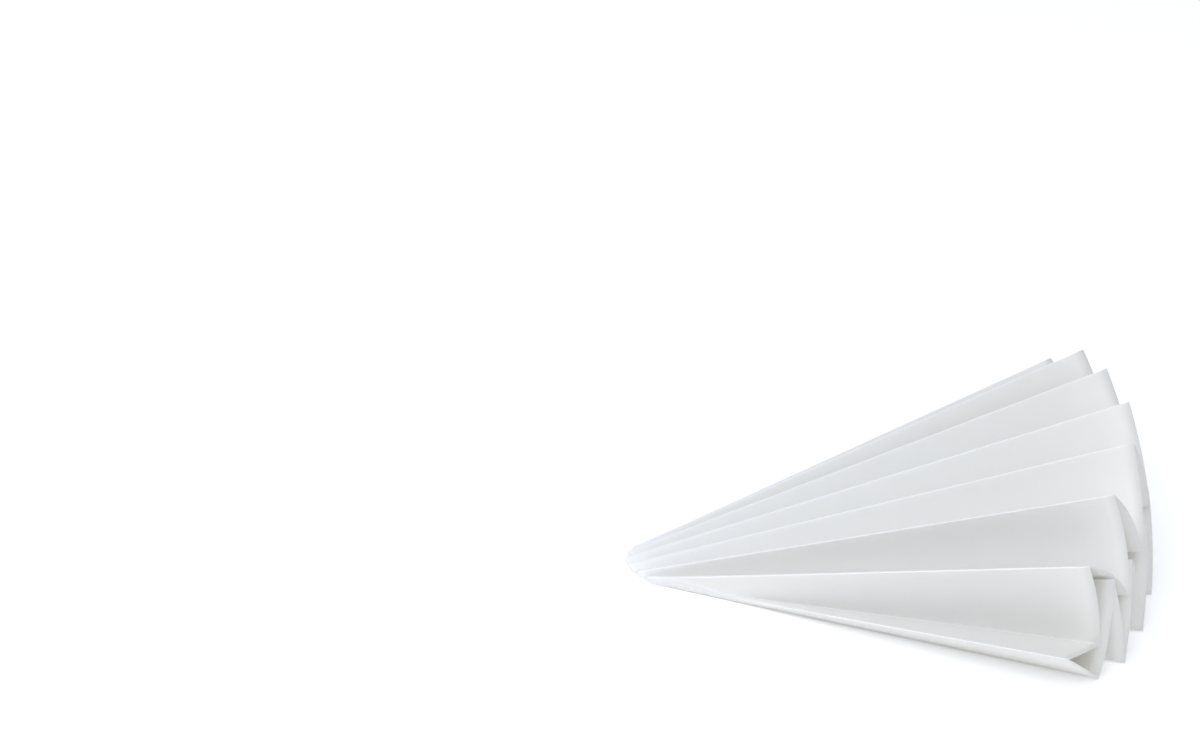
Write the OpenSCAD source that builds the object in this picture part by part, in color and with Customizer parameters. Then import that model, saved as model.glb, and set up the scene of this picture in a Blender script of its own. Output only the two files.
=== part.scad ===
// Folded filter paper: one circle of thin paper, folded in half and then pleated
// like a fan into sixteen sectors a layer, lying on its side with the pleats half open.
// The paper's centre lies over the origin, the rim points along +X, +Z is up.

/* [Paper] */
// Diameter of the flat paper circle
paper_diameter = 240; // [150:5:320]
// Thickness of the paper
paper_thickness = 0.2; // [0.12:0.01:0.3]

/* [Fan] */
// Angle between the two ends of the half fold, seen from above
fan_spread = 64; // [52:1:80]
// Height of the upper layer's ridges at the rim
upper_ridge_height = 39; // [30:1:44]
// Height of the upper layer's valleys at the rim
upper_valley_height = 19; // [16:0.5:21]
// Height of the lower layer's ridges at the rim
lower_ridge_height = 22; // [17:0.5:24]
// How far the back of each pleat bellies out at the rim
leaf_belly = 1.5; // [0.5:0.1:2.5]

/* [Blunt point] */
// Width of the blunt point, from the first fold to the last
point_width = 19; // [16:1:26]
// How far the middle of the point stands in front of its corners
point_depth = 5; // [3:0.5:8]
// How far the point's middle lies to the front of the paper's centre
point_shift = 8; // [4:0.5:10]
// Height of the highest ridge at the point
point_height = 2.6; // [2.2:0.1:4]
// How far the lower layer stands back under the point
point_undercut = 2.5; // [1.5:0.5:4]
// How far each valley starts behind the ridges beside it
point_notch = 0.7; // [0.2:0.1:1.2]
// How far the half fold's front end starts behind the point's front corner
corner_setback = 2.5; // [0.5:0.5:4]
// Length of the rounding in front of the point
nose_length = 0.5; // [0.3:0.1:1.2]

/* [Loose flap] */
// Bearing of the ridge that has tipped forward off the front pleat
flap_bearing = -40; // [-43:0.5:-38]
// Height of that ridge at the rim
flap_height = 14; // [12:0.5:18]
// Distance from the point at which the flap begins
flap_start = 19; // [14:1:30]

/* [Hidden] */

PARTS = 4;                  // facets across one sector
radius = paper_diameter / 2;
half_t = paper_thickness / 2;
MITRE_LIMIT = 3;            // the most a sharp fold's mitre grows, in half thicknesses
rest = MITRE_LIMIT * half_t; // the lowest folds' centre line, so the folds touch the table

// Bearings of the folds in degrees for a spread of 64, front end of the half fold first.
// Even folds are valleys and odd folds are ridges.
UPPER_BEARING = [-31, -40, -31, -34, -25, -24.5, -18, -11.5, -7,
                 0, 5, 12, 14.5, 19.5, 21, 28.5, 33];
LOWER_BEARING = [-31, -29, -26.5, -23, -19, -14.5, -10.5, -5,
                 -1, 3, 7, 11, 14.5, 17.5, 20.5, 26, 33];
// Heights of the folds as shares of the ridge and valley heights above
UPPER_SHARE = [0, 0, 0.46, 0.77, 0.8, 0.98, 1, 1,
               1, 0.99, 0.95, 0.93, 0.75, 0.89, 0.6, 0.63, 0.12];
LOWER_SHARE = [0, 0, 0, 1, 0, 1, 0, 0.98, 0, 1, 0, 1, 0, 1, 0, 0, 0];
// The lower layer's first and last ridges fit close under a leaf of the upper layer:
// [that leaf's first fold, share across the leaf, clearance at the rim]
FIRST_UNDER = [3, 0.5, 1.2];
LAST_UNDER = [14, 0.67, 1.8];
SECTORS = len(UPPER_BEARING) - 1;   // sectors a layer, between the half fold's ends
COLS = 2 * SECTORS * PARTS;         // columns round the whole circle
leaf_angle = 180 / SECTORS;         // 11.25 degrees of paper a sector
leaf_sag = radius * (1 - cos(leaf_angle / 2));  // the rim's arc beyond its chord
// What the crushed front corner takes up of the first folds' length
CORNER_LOSS = [2.5, 0, 2.5];

bearing_scale = fan_spread / 64;
function is_odd(k) = k % 2 == 1;
function upper_bearing(k) = k == 1 ? flap_bearing * bearing_scale : UPPER_BEARING[k] * bearing_scale;
function upper_height(k) = k == 0 ? rest : k == 1 ? flap_height
    : UPPER_SHARE[k] * (is_odd(k) ? upper_ridge_height : upper_valley_height);
function under_leaf(u) = mix(upper_height(u[0]), upper_height(u[0] + 1), u[1]) - u[2]
    + 4 * u[1] * (1 - u[1]) * belly(true, u[0]) * leaf_belly;
function lower_height(k) = k == SECTORS ? upper_height(k)
    : k == 1 ? under_leaf(FIRST_UNDER) : k == SECTORS - 1 ? under_leaf(LAST_UNDER)
    : is_odd(k) ? LOWER_SHARE[k] * lower_ridge_height : rest;
function reach(k) = radius - (k < len(CORNER_LOSS) ? CORNER_LOSS[k] : 0);

// A fold's tip on the rim, at its bearing and height, one paper radius from the centre
function on_rim(bearing, height, r) = let (flat = sqrt(r * r - height * height))
    [flat * cos(bearing), flat * sin(bearing), height];
function rim_tip(upper, k) = upper
    ? on_rim(upper_bearing(k), upper_height(k), reach(k))
    : on_rim(LOWER_BEARING[k] * bearing_scale, lower_height(k),
             radius - (k == 0 ? CORNER_LOSS[0] : 0));

// The folds start on the blunt point, spread as they are at the rim
rim_front = rim_tip(true, 0).y;
rim_back = rim_tip(true, SECTORS).y;
point_scale = point_width / (rim_back - rim_front);
lift_scale = (point_height - 0.5) / upper_ridge_height;
POINT_FRONT = 1.3;          // how far the point reaches beyond the paper's centre
BLOCK_SKIN = 0.02;          // how far the solid point stands outside the layers it holds
LOWER_LIFT = 0.6;           // how high the lower ridges start, as a share of the upper ones
function shared(k) = k == 0 || k == SECTORS;
function point_start(upper, k) = let (
        tip = rim_tip(upper, k),
        side = point_scale * tip.y,
        back = point_depth * pow(side / (point_width / 2), 2)
             + (upper || shared(k) ? 0 : point_undercut)
             + (upper && !shared(k) && !is_odd(k) ? point_notch : 0)
             + (upper && k > 0 ? 0 : corner_setback * max(0, 1 - k / 3)))
    [back - POINT_FRONT, side - point_shift,
     (upper || shared(k) ? 1 : LOWER_LIFT) * lift_scale * (tip.z - rest)
         + rest + MITRE_LIMIT * BLOCK_SKIN
         + (upper && !shared(k) ? 2 * paper_thickness : 0)];

function mix(a, b, s) = a + (b - a) * s;
function clamp01(s) = max(0, min(1, s));
function straight(upper, k, q) = mix(point_start(upper, k), rim_tip(upper, k), q);

// Near the point the first two folds of the upper layer are not creased yet: the front
// pleat comes down to the half fold there, and the flap opens between them further out.
flap_q = flap_start / radius;
FLAP_TOP = 0.05;   // the pleat's foot leaves its ridge here
function flap_foot(q) = let (w = mix(0.15, 0.8, clamp01((q - FLAP_TOP) / (flap_q - FLAP_TOP))))
    mix(straight(true, 3, q), straight(true, 0, q), w);
function fold(upper, k, q) = !upper || k == 0 || k > 2 ? straight(upper, k, q)
    : let (
        past = clamp01((q - flap_q) / (1 - flap_q)),
        q_in = min(q, flap_q),
        foot = mix(flap_foot(q_in), rim_tip(true, 2), past))
      k == 2 ? foot
      : mix(mix(straight(true, 0, q_in), flap_foot(q_in), 0.5), rim_tip(true, 1), past);

// A sector's outward normal at q: up on the upper layer, down on the lower
function leaf_normal(upper, i, q) = let (
        q0 = max(0, q - 0.01), q1 = min(1, q + 0.01),
        along = fold(upper, i, q1) + fold(upper, i + 1, q1)
              - fold(upper, i, q0) - fold(upper, i + 1, q0),
        across = fold(upper, i + 1, q) - fold(upper, i, q),
        n = cross(along, across))
    n / norm(n) * (upper ? 1 : -1);
// Backs of the upper pleats belly out, and the first lower sector gives way to the flap
function belly(upper, i) = upper ? (i > 1 && is_odd(i) ? 1 : i == 0 ? 0 : 0.1) : (i == 0 ? 0.8 : 0);
function leaf_point(upper, i, s, q) = let (
        a = fold(upper, i, q), b = fold(upper, i + 1, q),
        out = rim_tip(upper, i) + rim_tip(upper, i + 1),
        bulge = 4 * s * (1 - s))
    mix(a, b, s) + bulge * (q * leaf_sag * out / norm(out)
        + (0.2 + 0.8 * q) * belly(upper, i) * leaf_belly * leaf_normal(upper, i, q));

// Columns run round the circle: over the upper layer and back along the lower
function is_upper(c) = c <= COLS / 2;
function fold_place(c) = (is_upper(c) ? c : COLS - c) / PARTS;
function mitre(n1, n2) = let (n = n1 + n2, u = n / norm(n))
    u * min(MITRE_LIMIT, 1 / max(0.05, u * n1));
function column_normal(c, q) = let (
        up = is_upper(c), k = fold_place(c), i = min(floor(k), SECTORS - 1))
    k == 0 ? mitre(leaf_normal(true, 0, q), leaf_normal(false, 0, q))
    : k == SECTORS ? mitre(leaf_normal(true, i, q), leaf_normal(false, i, q))
    : k == floor(k) ? mitre(leaf_normal(up, k - 1, q), leaf_normal(up, k, q))
    : leaf_normal(up, i, q);
function middle(c, q) = let (
        up = is_upper(c), k = fold_place(c), i = min(floor(k), SECTORS - 1))
    leaf_point(up, i, k - i, q);
function outside(c, q) = middle(c, q) + half_t * column_normal(c, q);
function inside(c, q) = middle(c, q) - half_t * column_normal(c, q);

// A layer is a thin shell from where the point opens out to the rim
SHELL_ROWS = [0.085, 0.12, flap_q, 0.25, 0.4, 0.6, 0.8, 1];
function strip(a, b, c, d, flip) = flip ? [[a, c, b], [b, c, d]] : [[a, b, c], [b, d, c]];
module layer(first) {
    rows = len(SHELL_ROWS);
    cols = COLS / 2 + 1;
    ins = rows * cols;
    points = concat(
        [for (q = SHELL_ROWS) for (c = [first : first + cols - 1]) outside(c % COLS, q)],
        [for (q = SHELL_ROWS) for (c = [first : first + cols - 1]) inside(c % COLS, q)]);
    last = (rows - 1) * cols;
    faces = concat(
        [for (r = [0 : rows - 2]) for (c = [0 : cols - 2]) let (a = r * cols + c)
            each strip(a, a + 1, a + cols, a + cols + 1, false)],
        [for (r = [0 : rows - 2]) for (c = [0 : cols - 2]) let (a = ins + r * cols + c)
            each strip(a, a + 1, a + cols, a + cols + 1, true)],
        [for (c = [0 : cols - 2]) each strip(c, c + 1, ins + c, ins + c + 1, true)],
        [for (c = [0 : cols - 2]) let (a = last + c)
            each strip(a, a + 1, ins + a, ins + a + 1, false)],
        [for (r = [0 : rows - 2]) let (a = r * cols)
            each strip(a, a + cols, ins + a, ins + a + cols, false)],
        [for (r = [0 : rows - 2]) let (a = r * cols + cols - 1)
            each strip(a, a + cols, ins + a, ins + a + cols, true)]);
    polyhedron(points = points, faces = faces, convexity = 12);
}

// The first stretch of both layers is pressed into one solid point: one block for each
// sector of the upper layer and the sector of the lower layer under it. The upper layer
// has slipped two folds to the front, and one wide pleat at the middle takes up the slip.
BLOCK_ROWS = [0, 0.05, 0.1];
SLIP = 2;
WIDE = 9;
BLOCKS = concat(
    [for (k = [0 : SLIP - 1]) [k, k + 1, 0, 0]],
    [for (k = [SLIP : WIDE - 1]) [k, k + 1, k - SLIP, k - SLIP + 1]],
    [for (j = [WIDE - SLIP : WIDE - 1]) [WIDE, WIDE, j, j + 1]],
    [for (k = [WIDE : SECTORS - 1]) [k, k + 1, k, k + 1]]);
function block_point(c, q) = middle(c, q) + (half_t + BLOCK_SKIN) * column_normal(c, q);
function nose(k) = let (p = outside(k * PARTS, 0))
    [p.x - nose_length, p.y, mix(p.z, rest, 0.3)];
module block(b, q0, q1) {
    points = concat(
        [for (q = [q0, q1]) for (c = [b[0] * PARTS : b[1] * PARTS]) block_point(c, q)],
        [for (q = [q0, q1]) for (c = [b[2] * PARTS : b[3] * PARTS])
            block_point((COLS - c) % COLS, q)],
        q0 > 0 ? [] : [nose(b[0]), nose(b[1])]);
    hull() polyhedron(points = points,
                      faces = [for (i = [0 : len(points) - 3]) [i, i + 1, i + 2]]);
}
module pressed_point() {
    for (r = [0 : len(BLOCK_ROWS) - 2]) for (b = BLOCKS)
        block(b, BLOCK_ROWS[r], BLOCK_ROWS[r + 1]);
}

module filter_paper() {
    color([0.94, 0.95, 0.96]) union() {
        layer(0);
        layer(COLS / 2);
        pressed_point();
    }
}

filter_paper();
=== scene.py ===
"""A folded filter paper: one round sheet, folded in half and pleated like a fan to a
blunt point, lying on its side with the pleats half open. Lengths are in millimetres
until the mesh is made, and the paper's centre is the origin."""
import math

import bpy
import numpy as np
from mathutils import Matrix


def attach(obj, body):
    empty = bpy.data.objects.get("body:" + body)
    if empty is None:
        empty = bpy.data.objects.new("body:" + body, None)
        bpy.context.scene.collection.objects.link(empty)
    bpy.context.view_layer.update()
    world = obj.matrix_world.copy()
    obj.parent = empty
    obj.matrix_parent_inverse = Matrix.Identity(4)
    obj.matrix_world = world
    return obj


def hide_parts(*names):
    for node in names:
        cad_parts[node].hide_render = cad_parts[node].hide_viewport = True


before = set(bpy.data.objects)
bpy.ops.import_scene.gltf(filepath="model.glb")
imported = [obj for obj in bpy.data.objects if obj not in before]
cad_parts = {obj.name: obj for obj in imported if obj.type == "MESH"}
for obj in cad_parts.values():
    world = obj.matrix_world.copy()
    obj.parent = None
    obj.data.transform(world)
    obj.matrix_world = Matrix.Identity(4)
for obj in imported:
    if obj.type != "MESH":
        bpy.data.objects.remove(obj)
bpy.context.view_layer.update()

# ---------------------------------------------------------------- the paper's sizes
MM = 0.001
DIAMETER = 240.0
RADIUS = DIAMETER / 2
THICKNESS = 0.2
SECTORS = 16                 # sectors in each layer
SECTOR = math.pi / SECTORS   # angle of one sector on the flat circle, 11.25 degrees

# Heights of the folds at the rim
RIDGE, VALLEY, LOWER_RIDGE = 39.0, 19.0, 22.0
FIRST_LOWER, LAST_LOWER = 22.9, 18.5   # lower ridges close under a leaf of the upper layer
REST = 0.3                   # centre line of the folds that lie on the table

BELLY = 1.5                  # how far the back of a pleat bows out at the rim
CREASE = 0.35                # length of paper on each side of a fold that is bent
CREASE_SHARE = 0.22          # and the most of a sector that it may take
HOLLOW_SHARE = 0.7           # the most of a bend's radius that the skin in it fills

# The loose flap: the ridge that has tipped forward, and the share of the way from the
# point to the rim at which the flap begins
FLAP_BEARING, FLAP_HEIGHT, FLAP_Q = -40.0, 14.0, 19 / RADIUS
# The front pleat's foot leaves its ridge at FLAP_TOP. It lies this share of the way from
# the ridge down to the half fold, there and where the flap begins.
FLAP_TOP = 0.05
FOOT_AT_TOP, FOOT_AT_FLAP = 0.15, 0.8

# The blunt point
POINT_WIDTH = 19.0           # from the first fold to the last
POINT_HEIGHT = 2.6           # of the highest ridge
POINT_DEPTH = 5.0            # how far its middle stands in front of its corners
POINT_FRONT = 1.3            # how far it reaches beyond the paper's centre
POINT_SHIFT = 8.0            # how far its middle lies to the front of that centre
POINT_UNDERCUT = 2.5         # how far the lower layer stands back under it
POINT_NOTCH = 0.7            # how far the valleys start behind the ridges
POINT_BASE = 0.06            # how far the lowest folds start above their rest
POINT_LAYERS = 0.5           # what the pressed layers take up of the point's height
CORNER_SETBACK = 2.5         # how far the half fold's front end starts behind its place
CORNER_LOSS = 2.5            # what the crushed front corner takes off its folds' length
LOWER_LIFT = 0.6             # how high the lower ridges start beside the upper ones
NOSE = 0.5                   # rounding in front of the point
NOSE_EDGE = 0.35             # share of the point's height that its foremost edge keeps

# Bearings of the folds in degrees, front end of the half fold first, and their heights
# as shares of the heights above. Even folds are valleys and odd folds are ridges.
UPPER_BEARING = np.array([-31, FLAP_BEARING, -31, -34, -25, -24.5, -18, -11.5, -7,
                          0, 5, 12, 14.5, 19.5, 21, 28.5, 33])
LOWER_BEARING = np.array([-31, -29, -26.5, -23, -19, -14.5, -10.5, -5, -1,
                          3, 7, 11, 14.5, 17.5, 20.5, 26, 33])
UPPER_SHARE = np.array([0, 0, 0.46, 0.77, 0.8, 0.98, 1, 1, 1, 0.99, 0.95, 0.93,
                        0.75, 0.89, 0.6, 0.63, 0.12])
LOWER_SHARE = np.array([0, 0, 0, 1, 0, 1, 0, 0.98, 0, 1, 0, 1, 0, 1, 0, 0, 0])

fold_no = np.arange(SECTORS + 1)
ridge = fold_no % 2 == 1
UPPER_HEIGHT = UPPER_SHARE * np.where(ridge, RIDGE, VALLEY)
UPPER_HEIGHT[:2] = REST, FLAP_HEIGHT
LOWER_HEIGHT = np.where(ridge, LOWER_SHARE * LOWER_RIDGE, REST)
LOWER_HEIGHT[[1, -2, -1]] = FIRST_LOWER, LAST_LOWER, UPPER_HEIGHT[-1]
UPPER_REACH = np.full(SECTORS + 1, RADIUS)
UPPER_REACH[[0, 2]] -= CORNER_LOSS
LOWER_REACH = np.full(SECTORS + 1, RADIUS)
LOWER_REACH[0] -= CORNER_LOSS


def rim_tips(bearing, height, reach):
    """A fold's tip: at its bearing, its height above the table and its straight
    distance from the paper's centre. Its level reach is what Pythagoras leaves."""
    level = np.sqrt(reach ** 2 - height ** 2)
    b = np.radians(bearing)
    return np.stack([level * np.cos(b), level * np.sin(b), height], -1)


UPPER_TIP = rim_tips(UPPER_BEARING, UPPER_HEIGHT, UPPER_REACH)
LOWER_TIP = rim_tips(LOWER_BEARING, LOWER_HEIGHT, LOWER_REACH)


def point_starts(tips, upper):
    """Where the folds start: the rim's section at a small scale, with its middle in
    front of its corners by a square law, and the lower layer a little further back."""
    scale = POINT_WIDTH / (UPPER_TIP[-1, 1] - UPPER_TIP[0, 1])
    side = scale * tips[:, 1]
    shared = (fold_no == 0) | (fold_no == SECTORS)
    back = POINT_DEPTH * (side / (POINT_WIDTH / 2)) ** 2 - POINT_FRONT
    lift = (POINT_HEIGHT - POINT_LAYERS) / RIDGE * (tips[:, 2] - REST)
    if not upper:
        lift = lift * np.where(shared, 1, LOWER_LIFT)
    lift = lift + REST + POINT_BASE
    if upper:
        back[0] += CORNER_SETBACK
        back = back + np.where(shared | ridge, 0, POINT_NOTCH)
        lift = lift + np.where(shared, 0, 2 * THICKNESS)
    else:
        back = back + np.where(shared, 0, POINT_UNDERCUT)
        back = back + CORNER_SETBACK * np.maximum(0, 1 - fold_no / 3)
    return np.stack([back, side - POINT_SHIFT, lift], -1)


UPPER_START = point_starts(UPPER_TIP, True)
LOWER_START = point_starts(LOWER_TIP, False)


def mix(a, b, s):
    return a + (b - a) * s


def fold_lines(upper, q):
    """Every fold of a layer at shares q of the way from the point to the rim: a
    straight line from its start to its tip. The flap's two folds begin between the
    half fold and the front pleat's ridge, and only open out past the flap's start."""
    start, tip = (UPPER_START, UPPER_TIP) if upper else (LOWER_START, LOWER_TIP)
    qs = q[None, :, None]
    lines = mix(start[:, None], tip[:, None], qs)
    if upper:
        q_in = np.minimum(q, FLAP_Q)
        past = np.clip((q - FLAP_Q) / (1 - FLAP_Q), 0, 1)[:, None]
        down = np.clip((q_in - FLAP_TOP) / (FLAP_Q - FLAP_TOP), 0, 1)
        w = mix(FOOT_AT_TOP, FOOT_AT_FLAP, down)
        top = mix(start[3], tip[3], q_in[:, None])
        low = mix(start[0], tip[0], q_in[:, None])
        foot = mix(top, low, w[:, None])
        lines[2] = mix(foot, tip[2], past)
        lines[1] = mix(mix(low, foot, 0.5), tip[1], past)
    return lines


# The loop runs over the upper layer's sectors and back along the lower layer's. As
# shares of BELLY, the backs of the upper pleats bow out, their fronts hollow, and the
# lower layer's first sector gives way to the flap.
BELLIES = np.concatenate([
    [0, 0.1, -0.5, 1, -1.4, 1, -1.5, 1, -1, 1, -0.7, 1, 0.5, 1, 0.1, 1],
    [0.0] * (SECTORS - 1) + [0.8]])
SAG = RADIUS * (1 - math.cos(SECTOR / 2))    # the rim's arc beyond its chord
LOOP = 2 * SECTORS


def unit(v):
    return v / np.linalg.norm(v, axis=-1, keepdims=True)


def loop_sectors(q):
    """For each sector of the loop and each q: its two folds, its outward normal and
    the direction in which the rim's arc stands out beyond its chord."""
    up, low = fold_lines(True, q), fold_lines(False, q)
    step = 0.01
    q0, q1 = np.maximum(q - step, 0), np.minimum(q + step, 1)
    up_d = fold_lines(True, q1) - fold_lines(True, q0)
    low_d = fold_lines(False, q1) - fold_lines(False, q0)
    up_n = unit(np.cross(up_d[:-1] + up_d[1:], up[1:] - up[:-1]))
    low_n = -unit(np.cross(low_d[:-1] + low_d[1:], low[1:] - low[:-1]))
    a = np.concatenate([up[:-1], low[:0:-1]])
    b = np.concatenate([up[1:], low[-2::-1]])
    normal = np.concatenate([up_n, low_n[::-1]])
    out = unit(np.concatenate([UPPER_TIP[:-1] + UPPER_TIP[1:],
                               (LOWER_TIP[:-1] + LOWER_TIP[1:])[::-1]]))
    return a, b, normal, out


def on_sector(a, b, normal, out, q, s):
    """Points at share s across each sector: on the straight rule from fold to fold,
    plus a parabola: the rim's arc, and the bow of a back or the hollow of a front."""
    s = s[..., None]
    qs = q[None, :, None]
    bulge = 4 * s * (1 - s)
    bow = BELLY * (mix(0.2, 1, qs) * np.maximum(BELLIES, 0)[:, None, None]
                   + qs * np.minimum(BELLIES, 0)[:, None, None])
    return mix(a, b, s) + bulge * (qs * SAG * out[:, None] + bow * normal)


# Where the columns of one sector lie: on the bent part of its first fold, across its
# flat, and on the bent part of the next fold.
BENT = np.array([0, 1 / 3, 2 / 3])
FLAT_COLUMNS = 10
COLUMNS = len(BENT) * 2 - 1 + FLAT_COLUMNS


def paper_middle(q):
    """The sheet's middle surface, columns round the loop by rows from the point to the
    rim. Each fold is a quadratic curve from the flat on one side to the flat on the
    other, with the fold line as its control point. Also gives each column's place in
    the loop, in sectors."""
    a, b, normal, out = loop_sectors(q)
    width = np.linalg.norm(b - a, axis=-1)
    bend = np.minimum(CREASE / np.maximum(width, 1e-6), CREASE_SHARE)
    after = on_sector(a, b, normal, out, q, bend)
    before = np.roll(on_sector(a, b, normal, out, q, 1 - bend), 1, axis=0)

    def bent(fold, left, right, t):
        return (1 - t) ** 2 * left + 2 * t * (1 - t) * fold + t ** 2 * right

    columns, places = [], []
    sector = np.arange(LOOP, dtype=float)[:, None]
    for f in BENT:
        columns.append(bent(a, before, after, 0.5 + 0.5 * f))
        places.append(sector + f * bend)
    for f in np.linspace(0, 1, FLAT_COLUMNS):
        s = mix(bend, 1 - bend, f)
        columns.append(on_sector(a, b, normal, out, q, s))
        places.append(sector + s)
    next_before, next_after = np.roll(before, -1, axis=0), np.roll(after, -1, axis=0)
    for f in BENT[:0:-1]:
        columns.append(bent(b, next_before, next_after, 0.5 - 0.5 * f))
        places.append(sector + 1 - f * bend)
    grid = np.stack(columns, 1).reshape(LOOP * COLUMNS, len(q), 3)
    place = np.stack(places, 1).reshape(LOOP * COLUMNS, len(q))
    return grid, place


def surface_normals(grid):
    """Cross product of the differences along and round the loop."""
    along = np.gradient(grid, axis=1)
    across = np.roll(grid, -1, axis=0) - np.roll(grid, 1, axis=0)
    return unit(np.cross(along, across))


def skin_offsets(grid, normal):
    """How far the outer and the inner skin lie from the middle: half a thickness, but
    in the hollow of a crease no more than HOLLOW_SHARE of the bend's radius, because
    the fibres are pressed together there. The curvature is the change of the unit step
    round the loop, over the mean step. Its part along the normal says which side is
    hollow."""
    ahead = np.roll(grid, -1, axis=0) - grid
    behind = grid - np.roll(grid, 1, axis=0)
    step = 0.5 * (np.linalg.norm(ahead, axis=-1) + np.linalg.norm(behind, axis=-1))
    bend = ((unit(ahead) - unit(behind)) * normal).sum(-1) / step
    half = THICKNESS / 2
    above = np.minimum(half, HOLLOW_SHARE / np.maximum(bend, 1e-6))
    below = np.minimum(half, HOLLOW_SHARE / np.maximum(-bend, 1e-6))
    return above[..., None], below[..., None]


def flat_places(place, q):
    """Where each point lies on the flat circle, in metres: the UV map."""
    angle = place * SECTOR
    r = RADIUS * MM * q[None, :]
    return np.stack([r * np.cos(angle), r * np.sin(angle)], -1)


# Folds of the two layers that lie over each other: the upper layer has slipped two
# folds to the front, and one wide pleat at the middle takes up the slip.
SLIP, WIDE = 2 * COLUMNS, 9 * COLUMNS


def ladder_faces(first):
    """Triangles between each upper column and the lower column under it, which close
    the sheet's point. first is the index of column 0 of the row that they close."""
    half = SECTORS * COLUMNS
    pairs = [(i, 0) for i in range(SLIP + 1)]
    pairs += [(i, i - SLIP) for i in range(SLIP + 1, WIDE + 1)]
    pairs += [(WIDE, j) for j in range(WIDE - SLIP + 1, WIDE + 1)]
    pairs += [(i, i) for i in range(WIDE + 1, half + 1)]
    p = np.array(pairs)
    up = p[:, 0]
    low = (2 * half - p[:, 1]) % (2 * half)
    tris = np.concatenate([
        np.stack([up[:-1], up[1:], low[:-1]], 1),
        np.stack([low[:-1], up[1:], low[1:]], 1)])
    distinct = ((tris[:, 0] != tris[:, 1]) & (tris[:, 1] != tris[:, 2])
                & (tris[:, 0] != tris[:, 2]))
    return tris[distinct] + first


def band_faces(row_a, row_b, count):
    """Quads between two rows of the loop, given the index of each row's column 0."""
    c = np.arange(count)
    d = (c + 1) % count
    return np.stack([row_a + c, row_b + c, row_b + d, row_a + d], 1)


def row_places():
    """Where the rows lie, as shares of the way from the point to the rim: steps that
    grow evenly away from the point, three rows round the flap's start, and even steps
    out to the rim."""
    row = np.arange(9)
    return np.concatenate([row * (row + 5) / 1000, [0.125],
                           FLAP_Q + np.array([-0.012, 0, 0.012]),
                           np.linspace(0.2, 1, 30)])


def nose_rings(first):
    """The nose, foremost ring first: the first row carried forward on a quarter ellipse
    down to mid height, where it keeps a little of its own height."""
    half = len(first) // 2
    mid_z = 0.5 * (first[:half, 2].mean() + first[half:, 2].mean())
    rings = []
    for angle in np.radians([85, 60, 30]):
        ring = first.copy()
        ring[:, 0] -= NOSE * math.sin(angle)
        ring[:, 2] = mix(mid_z, first[:, 2], mix(NOSE_EDGE, 1, math.cos(angle)))
        rings.append(ring)
    return np.array(rings)


def make_paper():
    """The sheet with its thickness: an outer and an inner skin, half a thickness each
    side of the middle, joined by the cut edge at the rim. The point is closed by a
    rounded nose outside and by a ladder of triangles between the layers inside."""
    q = row_places()
    first_inner = 4                            # the inner skin starts on this row
    count = LOOP * COLUMNS
    middle, place = paper_middle(q)
    normal = surface_normals(middle)
    normal = normal * np.sign(normal[count // 4, -1, 2])   # up on the upper layer
    above, below = skin_offsets(middle, normal)
    outer = (middle + above * normal).transpose(1, 0, 2)
    inner = (middle - below * normal).transpose(1, 0, 2)[first_inner:]
    noses = nose_rings(outer[0])
    rows = np.concatenate([noses, outer, inner])
    uv = flat_places(place, q).transpose(1, 0, 2)
    uv_rows = np.concatenate([np.repeat(uv[:1], len(noses), 0), uv, uv[first_inner:]])

    n_outer, n_rows = len(noses) + len(outer), len(rows)
    quads = [band_faces(r * count, (r + 1) * count, count) for r in range(n_outer - 1)]
    quads += [band_faces((r + 1) * count, r * count, count)
              for r in range(n_outer, n_rows - 1)]
    quads.append(band_faces((n_outer - 1) * count, (n_rows - 1) * count, count))
    quads = np.concatenate(quads)
    tris = np.concatenate([ladder_faces(0), ladder_faces(n_outer * count)[:, ::-1]])
    verts = rows.reshape(-1, 3) * MM
    faces = quads.tolist() + tris.tolist()

    mesh = bpy.data.meshes.new("filter_paper_sheet")
    mesh.from_pydata(verts.tolist(), [], faces)
    corner = np.zeros(len(mesh.loops), np.int32)
    mesh.loops.foreach_get("vertex_index", corner)
    layer = mesh.uv_layers.new(name="flat_paper")
    layer.data.foreach_set("uv", uv_rows.reshape(-1, 2)[corner].ravel())
    mesh.polygons.foreach_set("use_smooth", np.ones(len(mesh.polygons), bool))
    mesh.update()
    mesh.validate()
    if signed_volume(mesh) < 0:
        mesh.flip_normals()
    paper = bpy.data.objects.new("filter_paper_sheet", mesh)
    bpy.context.scene.collection.objects.link(paper)
    return paper


def signed_volume(mesh):
    """Sum over the faces of the tetrahedra that they make with the origin."""
    mesh.calc_loop_triangles()
    co = np.zeros(len(mesh.vertices) * 3)
    mesh.vertices.foreach_get("co", co)
    tri = np.zeros(len(mesh.loop_triangles) * 3, np.int32)
    mesh.loop_triangles.foreach_get("vertices", tri)
    a, b, c = co.reshape(-1, 3)[tri.reshape(-1, 3)].transpose(1, 0, 2)
    return float(np.einsum("ij,ij->i", a, np.cross(b, c)).sum() / 6)


# ---------------------------------------------------------------- finishes
def srgb(hex_colour):
    """An sRGB hex colour as linear RGBA."""
    c = [int(hex_colour[i:i + 2], 16) / 255 for i in (1, 3, 5)]
    return [v / 12.92 if v <= 0.04045 else ((v + 0.055) / 1.055) ** 2.4 for v in c] + [1]


def add(tree, kind, settings=None, links=None):
    """Adds a node: settings by attribute or input name, links by input name."""
    n = tree.nodes.new(kind)
    for key, value in (settings or {}).items():
        if isinstance(key, int) or key in n.inputs:
            n.inputs[key].default_value = value
        else:
            setattr(n, key, value)
    for key, socket in (links or {}).items():
        tree.links.new(socket, n.inputs[key])
    return n


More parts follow.
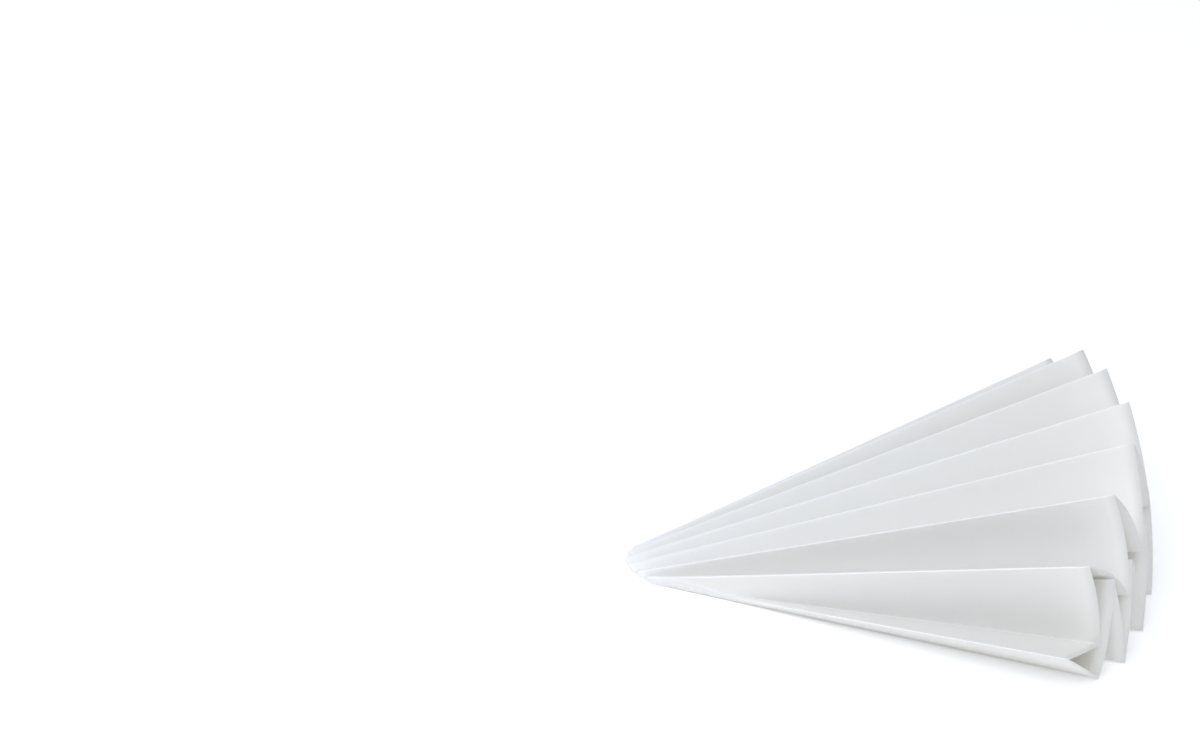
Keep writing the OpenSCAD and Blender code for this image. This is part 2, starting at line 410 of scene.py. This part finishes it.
def filter_paper_finish():
    """Cotton-linter filter paper, unglazed: off-white and quite matt, with a soft
    cloudy look where the fibres lie thicker, fine fibres standing on its face, and a
    little light coming through."""
    m = bpy.data.materials.new("unglazed_filter_paper")
    m.use_nodes = True
    t = m.node_tree
    t.nodes.clear()
    uv = add(t, "ShaderNodeUVMap", {"uv_map": "flat_paper"}).outputs["UV"]
    # Clouds 6 mm across, and fibres about 0.5 mm apart, drawn coarse enough to show
    cloud = add(t, "ShaderNodeTexNoise",
                {"Scale": 1 / (6 * MM), "Detail": 3.0, "Roughness": 0.6}, {"Vector": uv})
    fibre = add(t, "ShaderNodeTexNoise",
                {"Scale": 1 / (0.5 * MM), "Detail": 2.0, "Roughness": 0.7,
                 "Distortion": 1.2}, {"Vector": uv})
    tone = add(t, "ShaderNodeMix", {"data_type": "RGBA", 6: srgb("#f5f5f4"),
                                    7: srgb("#f9f9f8")},
               {"Factor": cloud.outputs["Fac"]})
    # Distance from the nearest fold line: the angle on the flat circle goes up and down
    # between
    #  the folds, and the distance from the centre makes it a length. Near each fold the
    #  colour gets a painted highlight, lighter and bluish, full at 0.15 mm from the fold
    #  and gone at 0.6 mm.
    place = add(t, "ShaderNodeSeparateXYZ", None, {"Vector": uv})
    angle = add(t, "ShaderNodeMath", {"operation": "ARCTAN2"},
                {0: place.outputs["Y"], 1: place.outputs["X"]})
    off_fold = add(t, "ShaderNodeMath", {"operation": "PINGPONG", 1: SECTOR / 2},
                   {0: angle.outputs[0]})
    reach = add(t, "ShaderNodeVectorMath", {"operation": "LENGTH"}, {0: uv})
    distance = add(t, "ShaderNodeMath", {"operation": "MULTIPLY"},
                   {0: off_fold.outputs[0], 1: reach.outputs["Value"]})
    # This mask places the painted highlight along the folds
    pressed = add(t, "ShaderNodeMapRange",
                  {"interpolation_type": "SMOOTHSTEP", "From Min": 0.6 * MM,
                   "From Max": 0.15 * MM, "To Min": 0.0, "To Max": 1.0},
                  {"Value": distance.outputs[0]})
    # Painted highlight: the tone turns a lighter bluish white near each fold, standing in
    # for light caught by the rounded crease
    fold_highlight_tone = add(t, "ShaderNodeMix", {"data_type": "RGBA", 7: srgb("#fcfdff")},
                {"Factor": pressed.outputs["Result"], 6: tone.outputs[2]})
    bump = add(t, "ShaderNodeBump", {"Strength": 0.25, "Distance": 0.06 * MM},
               {"Height": fibre.outputs["Fac"]})
    face = add(t, "ShaderNodeBsdfPrincipled",
               {"Roughness": 0.92, "IOR": 1.5, "Specular IOR Level": 0.15},
               {"Base Color": fold_highlight_tone.outputs[2], "Normal": bump.outputs["Normal"]})
    through = add(t, "ShaderNodeBsdfTranslucent", {"Color": srgb("#f4efe2")},
                  {"Normal": bump.outputs["Normal"]})
    both = add(t, "ShaderNodeMixShader", {0: 0.33},
               {1: face.outputs["BSDF"], 2: through.outputs["BSDF"]})
    add(t, "ShaderNodeOutputMaterial", None, {"Surface": both.outputs["Shader"]})
    return m


def studio_floor_finish():
    """White opal acrylic lit from below, so that hardly a shadow stays on it."""
    m = bpy.data.materials.new("opal_light_table")
    m.use_nodes = True
    t = m.node_tree
    t.nodes.clear()
    face = add(t, "ShaderNodeBsdfPrincipled",
               {"Base Color": srgb("#fafafa"), "Roughness": 0.95,
                "Specular IOR Level": 0.0, "Emission Color": srgb("#ffffff"),
                "Emission Strength": 0.21})
    add(t, "ShaderNodeOutputMaterial", None, {"Surface": face.outputs["BSDF"]})
    return m


# ---------------------------------------------------------------- camera and light
def look_from(name, place_mm, pitch_down, lens):
    """A level camera that looks along +Y, tipped down by pitch_down degrees."""
    data = bpy.data.cameras.new(name)
    data.lens = lens
    data.sensor_width = 36.0
    data.clip_end = 20.0
    o = bpy.data.objects.new(name, data)
    o.location = [v * MM for v in place_mm]
    o.rotation_euler = (math.radians(90 - pitch_down), 0, 0)
    bpy.context.scene.collection.objects.link(o)
    return o


def softbox(name, place, target, size, power, colour):
    """A square area light that faces its target. Sizes in metres, power in watts."""
    data = bpy.data.lights.new(name, "AREA")
    data.shape = "SQUARE"
    data.size = size
    data.energy = power
    data.color = srgb(colour)[:3]
    o = bpy.data.objects.new(name, data)
    o.location = place
    away = np.array(place, float) - np.array(target, float)
    level = math.hypot(away[0], away[1])
    o.rotation_euler = (math.atan2(level, away[2]), 0, math.atan2(away[0], -away[1]))
    bpy.context.scene.collection.objects.link(o)
    return o


def make_floor():
    """A level square, 6 m wide, large enough to fill every view."""
    half = 3.0
    mesh = bpy.data.meshes.new("studio_floor")
    mesh.from_pydata([(-half, -half, 0), (half, -half, 0), (half, half, 0),
                      (-half, half, 0)], [], [(0, 1, 2, 3)])
    mesh.materials.append(studio_floor_finish())
    o = bpy.data.objects.new("studio_floor", mesh)
    bpy.context.scene.collection.objects.link(o)
    return o


def light_studio():
    """Large softboxes in a pale room: the main ones above and in front, and at the left,
    weaker ones over the camera and at the right, and one behind."""
    world = bpy.data.worlds.new("dim_studio")
    world.use_nodes = True
    back = world.node_tree.nodes["Background"]
    back.inputs["Color"].default_value = srgb("#f0f5ff")
    back.inputs["Strength"].default_value = 0.32
    bpy.context.scene.world = world
    middle = (0.06, -0.01, 0.0)
    daylight, cool = "#f4f8ff", "#e4edff"
    softbox("above_front", (0.05, -0.7, 1.2), middle, 1.2, 9.3, daylight)
    softbox("above", (0.05, -0.35, 1.3), middle, 1.2, 2.3, daylight)
    softbox("front", (0.05, -1.3, 0.95), middle, 1.2, 4.0, daylight)
    softbox("left", (-1.2, -0.5, 0.8), middle, 1.0, 8.4, daylight)
    softbox("near_right", (0.9, -1.1, 0.6), middle, 1.0, 1.6, daylight)
    softbox("back", (0.05, 1.2, 0.9), middle, 1.2, 4.2, cool)


bpy.context.scene.view_settings.view_transform = "Standard"
bpy.context.scene.camera = look_from(
    "studio_camera", place_mm=(-7.51, -696.85, 360.46), pitch_down=24.228, lens=100.63)
light_studio()
floor = make_floor()

paper = make_paper()
paper.data.materials.append(filter_paper_finish())
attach(paper, "root")
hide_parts("filter_paper")
